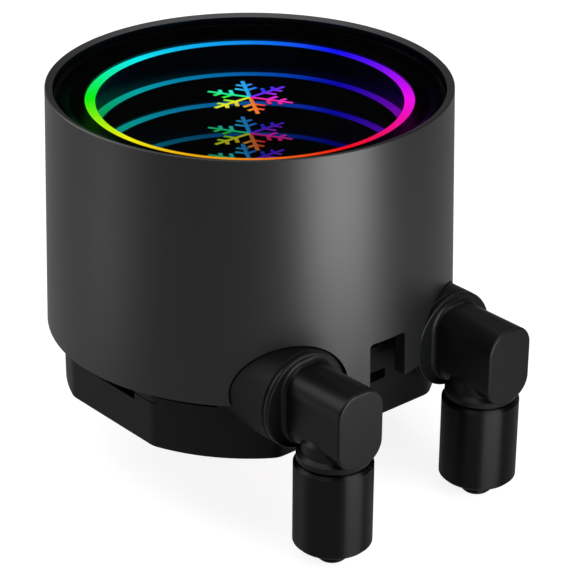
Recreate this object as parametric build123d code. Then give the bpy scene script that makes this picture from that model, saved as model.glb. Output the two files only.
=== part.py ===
# Pump head of an all-in-one CPU liquid cooler: copper cold plate, wet chamber with a spinning
# rotor, a tall round cover with an infinity-mirror cap, and two hose elbows that swivel.
# Millimetres. Origin: centre of the cold plate's contact face. +Z runs up the pump axis,
# and the two ports point to -Y.
from build123d import *
from math import cos, radians, sin, sqrt
import os

# Sizes that drive the rest
BASE_R = 35.2               # round wall of the base housing
PAD_T = 1.5                 # how far the copper pad stands below the housing
PLATE_T = 1.5               # flange of the cold plate, sunk in the housing's underside
SHELL_FOOT_Z = 14.0         # lower edge of the cover
RIM_Z = 60.1                # top of the cover's rim
PORT_Z = 16.0               # height of the port axes
FIT = 0.2                   # assembly clearance of seated pieces

# Cover
BORE_R = BASE_R + 0.4       # straight bore, over the housing
FOOT_R = BORE_R + 2.65      # outer radius at the lower edge, where the wall is thickest
RIM_R = FOOT_R - 1.25       # outer radius at the rim, less the mould's draft
RIM_DROP = 0.5              # fall of the rim's sloping top from outside to inside
RIM_EDGE = 0.2              # small rounding of the rim's outer edge
WINDOW_W = 8.4              # cable notch between the ports
WINDOW_H = 8.6
WINDOW_FILLET = 0.8
PORT_GAP = 0.25             # hairline round each port boss
SNAP_Z = RIM_Z - 20.1       # groove that the frame's snap ridges enter
SNAP_H = 1.6
SNAP_DEPTH = 0.55

# Base housing
FLAT_X = BASE_R - 2.1       # flats left and right, from the axis
FLAT_Y = BASE_R - 5.2       # flats front and rear
FLAT_BLEND = 4.0            # rounding between a flat and the round wall
BASE_EDGE = 0.5
SLOT_Z = 9.2                # bracket slots in the four flats
SLOT_H = 2.0
SLOT_W = 14.0
SLOT_DEPTH = 6.0
SEAM_Z = SLOT_Z + 1.3       # fine seam line from each side slot to the corner
SEAM_H = 0.2
SEAM_DEPTH = 0.5
CORNER_SLIT_H = 1.5
CORNER_SLIT_Z = SHELL_FOOT_Z - 0.6 - CORNER_SLIT_H      # shadow slit at the four round corners
CORNER_SLIT_DEPTH = 1.6
CORNER_SLIT_FROM = 20.0     # degrees from the X axis
CORNER_SLIT_TO = 40.4

# Cable socket and the recess behind the cover's notch
SOCKET_W = 8.0
SOCKET_H = 5.4
SOCKET_LEN = 6.2
SOCKET_FRONT_Y = -FLAT_Y + 1.4
SOCKET_WALL = 0.9
SOCKET_CAVITY = SOCKET_LEN - 1.6
PIN_COUNT = 4
PIN_PITCH = 1.5
PIN_W = 0.5
PIN_SETBACK = 1.2           # pin tips behind the socket's mouth
POCKET_FLOOR_Z = PORT_Z + 0.3
POCKET_TOP_Z = POCKET_FLOOR_Z + SOCKET_H + 1.2
POCKET_W = SOCKET_W + 2.4
POCKET_REAR_Y = SOCKET_FRONT_Y + SOCKET_LEN

# Ports and elbows
PORT_X = BASE_R / 2 + 0.4
BOSS_R = 9.1
BOSS_EDGE = 0.3
BOSS_FRONT_Y = -BASE_R - 0.3
FLANGE_GAP = 0.2            # running gap between boss and elbow flange
FLANGE_T = 0.9
FLANGE_R = BOSS_R - 0.05
FLANGE_EDGE = 0.4
ELBOW_W = 10.3
ELBOW_H = 14.5
ELBOW_CORNER = 4.1
ELBOW_FACE_Y = BOSS_FRONT_Y - 15.2
FACE_EDGE = 0.45
NECK_FILLET = 0.9           # concave blend between elbow body and flange
DROP_Y = BOSS_FRONT_Y - 8.35    # vertical axis of the barrel, collar and barb
COLLAR_R = 7.1
BARREL_R = COLLAR_R - 1.3
BARREL_TOP_Z = PORT_Z - 3.7
BARREL_SLOPE = 0.8
SKIRT_R = COLLAR_R - 0.5
SKIRT_TOP_Z = PORT_Z - 6.6
SKIRT_FOOT_Z = SKIRT_TOP_Z - 1.3
SKIRT_EDGE = 0.3
COLLAR_BORE_R = COLLAR_R - 0.8
COLLAR_TOP_Z = SKIRT_FOOT_Z - 0.5
COLLAR_FOOT_Z = COLLAR_TOP_Z - 16.5
COLLAR_ROOF = 1.6
COLLAR_EDGE = 0.5
BARB_TIP_R = 2.9
BARB_TOOTH_R = BARB_TIP_R + 0.45
BARB_BORE_R = BARB_TIP_R - 0.9
BARB_HEAD_R = BARB_TIP_R + 0.7
BARB_HEAD_Z = COLLAR_TOP_Z + 3.4
BARB_TIP_Z = COLLAR_FOOT_Z - 3.4
BARB_TOOTH_COUNT = 4
BARB_FIRST = 1.4            # first tooth below the elbow
BARB_PITCH = 3.0
BARB_RUN = 2.2
BARB_TIP_EDGE = 0.5
NECK_R = BARB_HEAD_R + 1.0  # turned neck that the collar's roof grips

# Swivel joint inside each boss
SPIGOT_R = 5.22
SPIGOT_CLEAR = 0.08         # radial running clearance of the spigot
SPIGOT_END_Y = BOSS_FRONT_Y + 11.9
SEAT_END_Y = BOSS_FRONT_Y + 9.5     # where the boss bore opens for the retaining ring
RELIEF_R = SPIGOT_R + 1.28
RELIEF_END_Y = SPIGOT_END_Y + 0.6
RING_GROOVE = (SEAT_END_Y + 0.2, SEAT_END_Y + 1.2)
RING_INNER_R = SPIGOT_R - 0.72
RING_OUTER_R = RELIEF_R - 0.4
RING_OPENING = 70.0         # degrees left open by the snap ring
ORING_Y = (BOSS_FRONT_Y + 2.9, BOSS_FRONT_Y + 6.1)
ORING_GROOVE_R = SPIGOT_R - 0.86
ORING_GROOVE_W = 1.3
ORING_SECTION_R = 0.42
FLOW_R = 2.5                # coolant bore of the elbow
DUCT_R = 2.9                # coolant bore of the housing

# Cold plate and jet plate
PLATE_R = FLAT_Y - 1.2
PLATE_TOP_Z = PAD_T + PLATE_T
PAD_R = PLATE_R - 3.8
PAD_EDGE = 0.3
SEAL_SECTION_R = 0.6
SEAL_GROOVE_CLEAR = 0.1
PLATE_SEAL_R = PAD_R - FIT
FIN_CHAMBER_R = PLATE_SEAL_R - 2.3
FIN_FIELD = 1.2 * FIN_CHAMBER_R     # square field of milled fins
FIN_H = 2.4
FIN_T = 0.6
FIN_PITCH = 1.5
JET_T = 1.0
JET_Z = PLATE_TOP_Z + FIN_H + FIT
JET_SLOT_W = 2.4
JET_SLOT_L = FIN_FIELD - 3.0
PLENUM_R = 13.0
PLENUM_H = 0.8

# Rotor
SHAFT_R = 1.0
SHAFT_CLEAR = 0.04
SLEEVE_R = 2.2
MAGNET_R = 7.0
IMPELLER_R = 10.5
IMPELLER_LIFT = 0.6         # running gap under the impeller
IMPELLER_DISC_T = 1.0
BLADE_H = 3.0
BLADE_T = 0.8
BLADE_SWEEP_R = 6.5         # radius of each blade's arc
BLADE_COUNT = 7
HUB_R = 4.0

# Pump chamber, its cover and the can that the magnet turns in
PUMP_FLOOR_Z = JET_Z + JET_T + PLENUM_H + 1.2
IMPELLER_FROM_Z = PUMP_FLOOR_Z + IMPELLER_LIFT
PUMP_TOP_Z = IMPELLER_FROM_Z + IMPELLER_DISC_T + BLADE_H + 1.0
PUMP_R = IMPELLER_R + 1.0
COVER_FLANGE_R = PUMP_R + 3.0
COVER_FLANGE_T = 1.6
COVER_SEAL_R = PUMP_R + 1.4
MOTOR_DECK_Z = PUMP_TOP_Z + COVER_FLANGE_T + 4.2
BASE_TOP_Z = MOTOR_DECK_Z + 10.0
MOTOR_POCKET_R = BASE_R - 9.2
CAN_R = MAGNET_R + 0.4
CAN_WALL = 0.6
CAN_TOP_Z = BASE_TOP_Z - 1.1
CAN_CAP_T = 1.6
CAN_EDGE = 0.4
SHAFT_SOCKET = 0.8
MAGNET_FROM_Z = MOTOR_DECK_Z - 2.0
MAGNET_TO_Z = CAN_TOP_Z - 0.7
INLET_Y = -8.0              # where the left duct drops towards the pump chamber
DRAIN_Y = -10.0             # where the right duct rises from the fin chamber
TRANSFER = (6.0, 5.0)       # hole from the pump chamber down to the plenum
TRANSFER_R = 2.3

# Screws
PLATE_SCREW_COUNT = 8
PLATE_SCREW_PCD = 2 * PLATE_R - 3.4
PLATE_SCREW_START = 22.5    # degrees: the pattern straddles the axes
PLATE_SCREW_LEN = 5.0
DIAGONAL = 45.0             # degrees: start of the four-screw patterns
SCREW_R = 0.85
SCREW_HEAD_R = SCREW_R + 0.6
SCREW_HEAD_T = 0.9
SCREW_DRIVE_R = 0.6
SCREW_DRIVE_FLOOR = 0.36    # metal left under the hexagon socket
SCREW_CLEAR = 0.1
BRACKET_BITE = 3.0          # thread length below what each screw clamps
FRAME_BITE = 5.0
BOARD_BITE = 3.0
HOLE_SPARE = 1.0            # blind hole left below each screw's tip

# Motor
BRACKET_R = MOTOR_POCKET_R - 3.6
BRACKET_T = 1.2
BRACKET_SCREW_COUNT = 4
BRACKET_PCD = 2 * BRACKET_R - 3.8
STATOR_R = MOTOR_POCKET_R - 6.0
STATOR_RING = 3.0
STATOR_FROM_Z = MOTOR_DECK_Z + 3.3
STATOR_H = 5.0
STATOR_GAP = 0.5
TOOTH_COUNT = 6
TOOTH_W = 3.6
SHOE_T = 1.2
SHOE_ANGLE = 40.0
COIL_WALL = 1.6
COIL_CORNER = 1.3
COIL_END_GAP = 0.4

# Frame and control board
FRAME_R = BORE_R - 0.4
FRAME_WALL = 1.8
FRAME_FLOOR_T = 1.6
FRAME_HOLE_R = MOTOR_POCKET_R - 5.0
FRAME_SCREW_COUNT = 4
FRAME_PCD = 2 * (MOTOR_POCKET_R + 4.0)
RIDGE_COUNT = 4
RIDGE_W = 24.0              # degrees of arc of one snap ridge
RIDGE_OUT = FRAME_R + 0.75  # reach of the snap ridges
BOARD_T = 1.2
BOARD_R = FRAME_R - FRAME_WALL - 1.4
STANDOFF_COUNT = 4
STANDOFF_H = 3.6
STANDOFF_R = 2.6
STANDOFF_PCD = 2 * BOARD_R - 8.0

# Mirror cap
GLASS_T = 1.2
GLASS_R = BORE_R - FIT
GLASS_TOP_Z = RIM_Z - 0.55
BEZEL_R = BORE_R - 0.3
BEZEL_WALL = 2.0
BEZEL_TOP_R = BEZEL_R - 1.0
BEZEL_FLOOR_R = BEZEL_R - 2.7
BEZEL_LIP_R = BEZEL_R - 5.4
BEZEL_LIP_T = 0.4
RING_INNER = BEZEL_LIP_R - 1.9      # lit ring, inner radius
RING_T = 0.5
RING_TOP_Z = GLASS_TOP_Z - 2.79
RING_SKIRT_OUT = BEZEL_R - BEZEL_WALL - 0.3
RING_SKIRT_IN = RING_SKIRT_OUT - 1.6
RING_SKIRT_GAP = 0.3
CARRIER_R = RING_SKIRT_IN - 0.4
CARRIER_BORE_R = BEZEL_LIP_R + 0.05
MIRROR_R = CARRIER_BORE_R - 0.15
MIRROR_T = 1.0
MIRROR_TOP_Z = RING_TOP_Z - 3.46
LED_BOARD_R = BORE_R - 0.6
LED_BOARD_Z = MIRROR_TOP_Z - 3.6
LED_COUNT = 16
LED_R = (RING_SKIRT_IN + RING_SKIRT_OUT) / 2
LED_SIZE = 2.0
LED_T = 0.7
SHEET_R = RING_INNER - 0.05         # clear sheet that carries the emblem
EMBLEM_R = 8.2
EMBLEM_T = 0.15
EMBLEM_LINE = 0.75
EMBLEM_ARM_COUNT = 6
EMBLEM_TWIGS = ((3.4, 2.3), (5.6, 1.7))   # distance from the centre and length of each twig pair

# Parts on the control board: (x from, x to, y from, y to, height)
DRIVER_CHIP = (-14.0, -7.0, -4.0, 3.0, 1.2)
CONTROLLER_CHIP = (4.0, 9.0, 6.0, 11.0, 1.0)
CHOKE = (10.0, 16.0, -6.0, 0.0, 3.0)
CHOKE_EDGE = 1.0
CAPACITOR_R = 3.1
CAPACITOR_H = 5.6
CAPACITOR_PLACES = ((-4.0, -12.0), (5.0, -12.0))

CUT = 1.0                   # how far a cutting body runs past the face it opens
TINY = 0.1                  # sink that makes two joined bodies share volume
SKIM = 0.05                 # gap between two seated faces


def cylinder(radius, z_from, z_to, x=0.0, y=0.0):
    """Upright cylinder between two heights."""
    return Pos(x, y, (z_from + z_to) / 2) * Cylinder(radius, abs(z_to - z_from))


def tube(outer, inner, z_from, z_to, x=0.0, y=0.0):
    return cylinder(outer, z_from, z_to, x, y) - cylinder(inner, z_from - CUT, z_to + CUT, x, y)


def bar_y(radius, y_from, y_to, x, z):
    """Cylinder whose axis runs along Y."""
    return Pos(x, (y_from + y_to) / 2, z) * (Rot(X=90) * Cylinder(radius, abs(y_to - y_from)))


def block(x_from, x_to, y_from, y_to, z_from, z_to):
    size = (x_to - x_from, y_to - y_from, z_to - z_from)
    return Pos((x_from + x_to) / 2, (y_from + y_to) / 2, (z_from + z_to) / 2) * Box(*size)


def turned(points):
    """Solid of revolution about Z from a closed outline of (radius, height) points."""
    outline = Polyline(*[(r, 0, z) for r, z in points], close=True)
    return revolve(make_face(outline), Axis.Z, 360)


def around(count, radius, start=0.0):
    """Places of a circular pattern, each turned to face outwards."""
    return [Rot(Z=start + 360 / count * i) * Pos(radius, 0, 0) for i in range(count)]


def fused(solids):
    result = solids[0]
    for solid in solids[1:]:
        result = result + solid
    return result


def screw(length, head_up=True):
    """Pan-head screw, its seat at z = 0, with a hexagon socket."""
    body = cylinder(SCREW_R, -length, 0) + cylinder(SCREW_HEAD_R, 0, SCREW_HEAD_T)
    socket = extrude(RegularPolygon(SCREW_DRIVE_R, 6), SCREW_HEAD_T)
    body = body - Pos(0, 0, SCREW_DRIVE_FLOOR) * socket
    return body if head_up else Rot(X=180) * body


def base_plan():
    """Round plan with four flats and softened corners."""
    plan = Circle(BASE_R) & Rectangle(2 * FLAT_X, 2 * FLAT_Y)
    return fillet(plan.vertices(), FLAT_BLEND)


def outer_shell():
    shell = turned([
        (BORE_R, SHELL_FOOT_Z), (FOOT_R, SHELL_FOOT_Z), (RIM_R, RIM_Z - RIM_EDGE),
        (RIM_R - RIM_EDGE, RIM_Z), (BORE_R, RIM_Z - RIM_DROP),
    ])
    groove = tube(BORE_R + SNAP_DEPTH, BORE_R - CUT, SNAP_Z - SNAP_H / 2, SNAP_Z + SNAP_H / 2)
    shell = shell - groove
    for x in (-PORT_X, PORT_X):
        shell = shell - bar_y(BOSS_R + PORT_GAP, -FOOT_R - CUT, -BASE_R / 2, x, PORT_Z)
    opening = Rectangle(WINDOW_W, 2 * WINDOW_H)
    opening = fillet(opening.vertices().sort_by(Axis.Y)[-2:], WINDOW_FILLET)
    notch = Pos(0, -BORE_R / 2, SHELL_FOOT_Z) * (Rot(X=90) * extrude(opening, FOOT_R))
    return shell - notch


def base_housing():
    foot_z = PAD_T
    body = Pos(0, 0, foot_z) * extrude(base_plan(), BASE_TOP_Z - foot_z)
    body = fillet(body.faces().sort_by(Axis.Z)[0].edges(), BASE_EDGE)
    for x in (-PORT_X, PORT_X):
        boss = bar_y(BOSS_R, BOSS_FRONT_Y, -BASE_R / 2, x, PORT_Z)
        boss = chamfer(boss.faces().sort_by(Axis.Y)[0].edges(), BOSS_EDGE)
        body = body + boss
    for way in (-1, 1):
        body = body - block(*sorted((way * FLAT_X - way * SLOT_DEPTH, way * (FLAT_X + CUT))),
                            -SLOT_W / 2, SLOT_W / 2, SLOT_Z, SLOT_Z + SLOT_H)
        body = body - block(-SLOT_W / 2, SLOT_W / 2,
                            *sorted((way * FLAT_Y - way * SLOT_DEPTH, way * (FLAT_Y + CUT))),
                            SLOT_Z, SLOT_Z + SLOT_H)
        corner_y = sqrt(BASE_R ** 2 - FLAT_X ** 2) + FLAT_BLEND / 2
        for side in (-1, 1):
            body = body - block(*sorted((way * FLAT_X - way * SEAM_DEPTH, way * (FLAT_X + CUT))),
                                *sorted((side * SLOT_W / 2, side * corner_y)),
                                SEAM_Z, SEAM_Z + SEAM_H)
    body = body - corner_slits()
    body = body - cold_plate_pocket() - pump_pocket() - ducts()
    pocket = block(-POCKET_W / 2, POCKET_W / 2, -FLAT_Y - CUT, POCKET_REAR_Y,
                   POCKET_FLOOR_Z, POCKET_TOP_Z)
    body = body - pocket
    frame_hole = cylinder(SCREW_R, BASE_TOP_Z - FRAME_BITE - HOLE_SPARE, BASE_TOP_Z + CUT)
    for place in around(FRAME_SCREW_COUNT, FRAME_PCD / 2, DIAGONAL):
        body = body - place * frame_hole
    bracket_hole = cylinder(SCREW_R, MOTOR_DECK_Z - BRACKET_BITE - HOLE_SPARE, MOTOR_DECK_Z + CUT)
    for place in around(BRACKET_SCREW_COUNT, BRACKET_PCD / 2, DIAGONAL):
        body = body - place * bracket_hole
    return body


def wedge(angle_from, angle_to, reach, z_from, z_to):
    """Upright wedge from the Z axis outwards, between two plan angles in degrees."""
    a, b = radians(angle_from), radians(angle_to)
    plan = make_face(Polyline((0, 0), (reach * cos(a), reach * sin(a)),
                              (reach * cos(b), reach * sin(b)), close=True))
    return Pos(0, 0, z_from) * extrude(plan, z_to - z_from)


def corner_slits():
    """Shadow slits at the four round corners, under the cover's edge."""
    top = CORNER_SLIT_Z + CORNER_SLIT_H
    ring = tube(BASE_R + CUT, BASE_R - CORNER_SLIT_DEPTH, CORNER_SLIT_Z, top)
    quarter = ring & wedge(CORNER_SLIT_FROM, CORNER_SLIT_TO, 2 * BASE_R, CORNER_SLIT_Z, top)
    slits = [quarter, mirror(quarter, Plane.YZ)]
    slits += [mirror(slit, Plane.XZ) for slit in slits]
    return fused(slits)


def cold_plate_pocket():
    """Space under the housing for the cold plate, its seal, the fins and the jet plate."""
    space = cylinder(PLATE_R + FIT, PAD_T - CUT, PLATE_TOP_Z)
    space = space + cylinder(FIN_CHAMBER_R, PAD_T, JET_Z + JET_T)
    space = space + cylinder(PLENUM_R, PAD_T, JET_Z + JET_T + PLENUM_H)
    space = space + seal_groove(PLATE_SEAL_R, PLATE_TOP_Z - TINY, PLATE_TOP_Z + 2 * SEAL_SECTION_R)
    space = space + cylinder(TRANSFER_R, JET_Z, PUMP_FLOOR_Z + CUT, *TRANSFER)
    for place in plate_screw_places():
        space = space + place * cylinder(SCREW_R, PAD_T - CUT, PAD_T + PLATE_SCREW_LEN + HOLE_SPARE / 2)
    return space


def plate_screw_places():
    return around(PLATE_SCREW_COUNT, PLATE_SCREW_PCD / 2, PLATE_SCREW_START)


def seal_groove(radius, z_from, z_to):
    half = SEAL_SECTION_R + SEAL_GROOVE_CLEAR
    return tube(radius + half, radius - half, z_from, z_to)


def pump_pocket():
    """Pump chamber, seat of the pump cover and the dry motor pocket above it."""
    space = cylinder(PUMP_R, PUMP_FLOOR_Z, PUMP_TOP_Z + CUT)
    space = space + cylinder(COVER_FLANGE_R + FIT / 2, PUMP_TOP_Z, MOTOR_DECK_Z + CUT)
    space = space + cylinder(MOTOR_POCKET_R, MOTOR_DECK_Z, BASE_TOP_Z + CUT)
    space = space + cylinder(SHAFT_R, PUMP_FLOOR_Z - SHAFT_SOCKET, PUMP_FLOOR_Z + CUT)
    return space + seal_groove(COVER_SEAL_R, PUMP_TOP_Z - 2 * SEAL_SECTION_R, PUMP_TOP_Z + TINY)


def ducts():
    """Coolant ways: the left port feeds the pump chamber, the right one drains the fin chamber."""
    inlet_z = (PUMP_FLOOR_Z + PUMP_TOP_Z) / 2
    space = bar_y(DUCT_R, RELIEF_END_Y - CUT, INLET_Y, -PORT_X, PORT_Z)
    space = space + cylinder(DUCT_R, inlet_z, PORT_Z, -PORT_X, INLET_Y)
    run = PORT_X - sqrt(PUMP_R ** 2 - INLET_Y ** 2) + CUT
    across = Rot(Y=90) * Cylinder(TRANSFER_R, run)
    space = space + Pos(-PORT_X + run / 2, INLET_Y, inlet_z) * across
    space = space + bar_y(DUCT_R, RELIEF_END_Y - CUT, DRAIN_Y, PORT_X, PORT_Z)
    space = space + cylinder(DUCT_R, PLATE_TOP_Z, PORT_Z, PORT_X, DRAIN_Y)
    for x in (-PORT_X, PORT_X):
        space = space + bar_y(SPIGOT_R + SPIGOT_CLEAR, BOSS_FRONT_Y - CUT, SEAT_END_Y, x, PORT_Z)
        space = space + bar_y(RELIEF_R, SEAT_END_Y, RELIEF_END_Y, x, PORT_Z)
    return space


def cold_plate():
    plate = cylinder(PLATE_R, PAD_T, PLATE_TOP_Z) + cylinder(PAD_R, 0, PAD_T)
    plate = chamfer(plate.edges().filter_by(GeomType.CIRCLE).sort_by(Axis.Z)[0], PAD_EDGE)
    count = int(FIN_FIELD / FIN_PITCH)
    for i in range(count):
        x = (i - (count - 1) / 2) * FIN_PITCH
        plate = plate + block(x - FIN_T / 2, x + FIN_T / 2, -FIN_FIELD / 2, FIN_FIELD / 2,
                              PLATE_TOP_Z - TINY, PLATE_TOP_Z + FIN_H)
    for place in plate_screw_places():
        plate = plate - place * cylinder(SCREW_R + SCREW_CLEAR, -CUT, PLATE_TOP_Z + CUT)
    return plate


def cold_plate_screws():
    return [place * (Pos(0, 0, PAD_T) * screw(PLATE_SCREW_LEN, head_up=False))
            for place in plate_screw_places()]


def plate_seal():
    return Pos(0, 0, PLATE_TOP_Z + SEAL_SECTION_R) * Torus(PLATE_SEAL_R, SEAL_SECTION_R)


def jet_plate():
    low, high = JET_Z - CUT, JET_Z + JET_T + CUT
    plate = cylinder(FIN_CHAMBER_R - FIT, JET_Z, JET_Z + JET_T)
    slot = block(-JET_SLOT_L / 2, JET_SLOT_L / 2, -JET_SLOT_W / 2, JET_SLOT_W / 2, low, high)
    return plate - slot - cylinder(DUCT_R, low, high, PORT_X, DRAIN_Y)


def pump_cover():
    """Flange that closes the pump chamber, with the thin can that the rotor's magnet turns in."""
    outer = CAN_R + CAN_WALL
    cover = cylinder(COVER_FLANGE_R, PUMP_TOP_Z, PUMP_TOP_Z + COVER_FLANGE_T)
    cover = cover + cylinder(outer, PUMP_TOP_Z, CAN_TOP_Z + CAN_CAP_T)
    cover = cover - cylinder(CAN_R, PUMP_TOP_Z - CUT, CAN_TOP_Z)
    cover = cover - cylinder(SHAFT_R, CAN_TOP_Z - CUT, CAN_TOP_Z + SHAFT_SOCKET)
    return chamfer(cover.faces().sort_by(Axis.Z)[-1].edges(), CAN_EDGE)


def cover_seal():
    return Pos(0, 0, PUMP_TOP_Z - SEAL_SECTION_R) * Torus(COVER_SEAL_R, SEAL_SECTION_R)


def motor_bracket():
    """Ring that clamps the pump cover's flange and carries the stator."""
    flange_top = PUMP_TOP_Z + COVER_FLANGE_T
    ring = cylinder(BRACKET_R, MOTOR_DECK_Z, MOTOR_DECK_Z + BRACKET_T)
    ring = ring + cylinder(COVER_FLANGE_R - FIT, flange_top, MOTOR_DECK_Z + BRACKET_T)
    ring = ring - cylinder(CAN_R + CAN_WALL + FIT, flange_top - CUT, MOTOR_DECK_Z + BRACKET_T + CUT)
    for place in around(TOOTH_COUNT, STATOR_R - STATOR_RING / 2):
        ring = ring + place * cylinder(STATOR_RING / 2, MOTOR_DECK_Z, STATOR_FROM_Z)
    hole = cylinder(SCREW_R + SCREW_CLEAR, MOTOR_DECK_Z - CUT, MOTOR_DECK_Z + BRACKET_T + CUT)
    for place in around(BRACKET_SCREW_COUNT, BRACKET_PCD / 2, DIAGONAL):
        ring = ring - place * hole
    return ring


def bracket_screws():
    seat = MOTOR_DECK_Z + BRACKET_T
    return [place * (Pos(0, 0, seat) * screw(BRACKET_T + BRACKET_BITE)) for place in
            around(BRACKET_SCREW_COUNT, BRACKET_PCD / 2, DIAGONAL)]


def shoe_inner_r():
    return CAN_R + CAN_WALL + STATOR_GAP


def stator_core():
    """Six-tooth lamination stack round the can."""
    top = STATOR_FROM_Z + STATOR_H
    core = tube(STATOR_R, STATOR_R - STATOR_RING, STATOR_FROM_Z, top)
    shoe_ring = tube(shoe_inner_r() + SHOE_T, shoe_inner_r(), STATOR_FROM_Z, top)
    shoe = shoe_ring & wedge(-SHOE_ANGLE / 2, SHOE_ANGLE / 2, STATOR_R, STATOR_FROM_Z, top)
    tooth = block(shoe_inner_r() + SHOE_T / 2, STATOR_R - STATOR_RING / 2,
                  -TOOTH_W / 2, TOOTH_W / 2, STATOR_FROM_Z, top)
    for i in range(TOOTH_COUNT):
        core = core + Rot(Z=360 / TOOTH_COUNT * i) * (shoe + tooth)
    return core


def stator_coils():
    """One wound coil on each tooth."""
    start = shoe_inner_r() + SHOE_T + COIL_END_GAP
    end = STATOR_R - STATOR_RING - COIL_END_GAP
    top = STATOR_FROM_Z + STATOR_H
    wound = block(start, end, -TOOTH_W / 2 - COIL_WALL, TOOTH_W / 2 + COIL_WALL,
                  STATOR_FROM_Z - COIL_WALL, top + COIL_WALL)
    wound = fillet(wound.edges().filter_by(Axis.X), COIL_CORNER)
    hole = block(start - CUT, end + CUT, -TOOTH_W / 2, TOOTH_W / 2, STATOR_FROM_Z, top)
    return [Rot(Z=360 / TOOTH_COUNT * i) * (wound - hole) for i in range(TOOTH_COUNT)]


def rotor_shaft():
    return cylinder(SHAFT_R, PUMP_FLOOR_Z - SHAFT_SOCKET, CAN_TOP_Z + SHAFT_SOCKET)


def bearing_sleeve():
    return tube(SLEEVE_R, SHAFT_R + SHAFT_CLEAR, IMPELLER_FROM_Z, MAGNET_TO_Z)


def rotor_magnet():
    return tube(MAGNET_R, SLEEVE_R, MAGNET_FROM_Z, MAGNET_TO_Z)


def impeller():
    """Open impeller: disc, hub and backward-leaning curved blades."""
    disc_top = IMPELLER_FROM_Z + IMPELLER_DISC_T
    wheel = cylinder(IMPELLER_R, IMPELLER_FROM_Z, disc_top)
    wheel = wheel + cylinder(HUB_R, IMPELLER_FROM_Z, MAGNET_FROM_Z)
    top = disc_top + BLADE_H
    blade = tube(BLADE_SWEEP_R + BLADE_T / 2, BLADE_SWEEP_R - BLADE_T / 2, disc_top - TINY, top,
                 x=BLADE_SWEEP_R)
    blade = blade & block(0, 2 * IMPELLER_R, -IMPELLER_R, 0, IMPELLER_FROM_Z, top)
    for i in range(BLADE_COUNT):
        wheel = wheel + Rot(Z=360 / BLADE_COUNT * i) * blade
    wheel = wheel & cylinder(IMPELLER_R, IMPELLER_FROM_Z, MAGNET_FROM_Z)
    return wheel - cylinder(SLEEVE_R, IMPELLER_FROM_Z - CUT, MAGNET_FROM_Z + CUT)


def inner_frame():
    """Moulded cup on the housing: it carries the boards and snaps into the cover."""
    outer, inner = FRAME_R, FRAME_R - FRAME_WALL
    frame = tube(outer, inner, BASE_TOP_Z, LED_BOARD_Z)
    frame = frame + tube(outer, FRAME_HOLE_R, BASE_TOP_Z, BASE_TOP_Z + FRAME_FLOOR_T)
    foot = SNAP_H / 2 - FIT
    root = outer - FRAME_WALL / 2
    ridge_ring = turned([
        (root, SNAP_Z - foot), (outer, SNAP_Z - foot), (RIDGE_OUT, SNAP_Z - FIT),
        (RIDGE_OUT, SNAP_Z + FIT), (outer, SNAP_Z + foot), (root, SNAP_Z + foot),
    ])
    ridge = ridge_ring & wedge(-RIDGE_W / 2, RIDGE_W / 2, 2 * outer, SNAP_Z - SNAP_H, SNAP_Z + SNAP_H)
    floor_top = BASE_TOP_Z + FRAME_FLOOR_T
    for i in range(RIDGE_COUNT):
        frame = frame + Rot(Z=DIAGONAL + 360 / RIDGE_COUNT * i) * ridge
    for place in around(STANDOFF_COUNT, STANDOFF_PCD / 2):
        frame = frame + place * cylinder(STANDOFF_R, floor_top - TINY, floor_top + STANDOFF_H)
        frame = frame - place * cylinder(SCREW_R, floor_top, floor_top + STANDOFF_H + CUT)
    for place in around(FRAME_SCREW_COUNT, FRAME_PCD / 2, DIAGONAL):
        frame = frame - place * cylinder(SCREW_R + SCREW_CLEAR, BASE_TOP_Z - CUT, floor_top + CUT)
    return frame


def frame_screws():
    seat = BASE_TOP_Z + FRAME_FLOOR_T
    return [place * (Pos(0, 0, seat) * screw(FRAME_FLOOR_T + FRAME_BITE)) for place in
            around(FRAME_SCREW_COUNT, FRAME_PCD / 2, DIAGONAL)]


def board_z():
    return BASE_TOP_Z + FRAME_FLOOR_T + STANDOFF_H


def control_board():
    board = cylinder(BOARD_R, board_z(), board_z() + BOARD_T)
    hole = cylinder(SCREW_R + SCREW_CLEAR, board_z() - CUT, board_z() + BOARD_T + CUT)
    for place in around(STANDOFF_COUNT, STANDOFF_PCD / 2):
        board = board - place * hole
    return board


def board_screws():
    return [place * (Pos(0, 0, board_z() + BOARD_T) * screw(BOARD_T + BOARD_BITE)) for place in
            around(STANDOFF_COUNT, STANDOFF_PCD / 2)]


def board_parts():
    """Motor driver chip, controller chip, two can capacitors and a choke on the control board."""
    z = board_z() + BOARD_T
    driver, controller, choke = [block(*box[:4], z, z + box[4]) for box in
                                 (DRIVER_CHIP, CONTROLLER_CHIP, CHOKE)]
    choke = fillet(choke.edges().filter_by(Axis.Z), CHOKE_EDGE)
    cans = [cylinder(CAPACITOR_R, z, z + CAPACITOR_H, *place) for place in CAPACITOR_PLACES]
    return [driver, controller, choke] + cans


def led_board():
    return cylinder(LED_BOARD_R, LED_BOARD_Z, LED_BOARD_Z + BOARD_T)


def led_chips():
    z = LED_BOARD_Z + BOARD_T
    half = LED_SIZE / 2
    return [place * block(-half, half, -half, half, z, z + LED_T) for place in around(LED_COUNT, LED_R)]


def light_ring():
    """Light guide: a flat ring seen from above, with a skirt that stands over the LED chips."""
    under = RING_TOP_Z - RING_T
    foot = LED_BOARD_Z + BOARD_T + LED_T + RING_SKIRT_GAP
    return turned([
        (RING_INNER, under), (RING_SKIRT_IN, under), (RING_SKIRT_IN, foot),
        (RING_SKIRT_OUT, foot), (RING_SKIRT_OUT, RING_TOP_Z), (RING_INNER, RING_TOP_Z),
    ])


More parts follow.
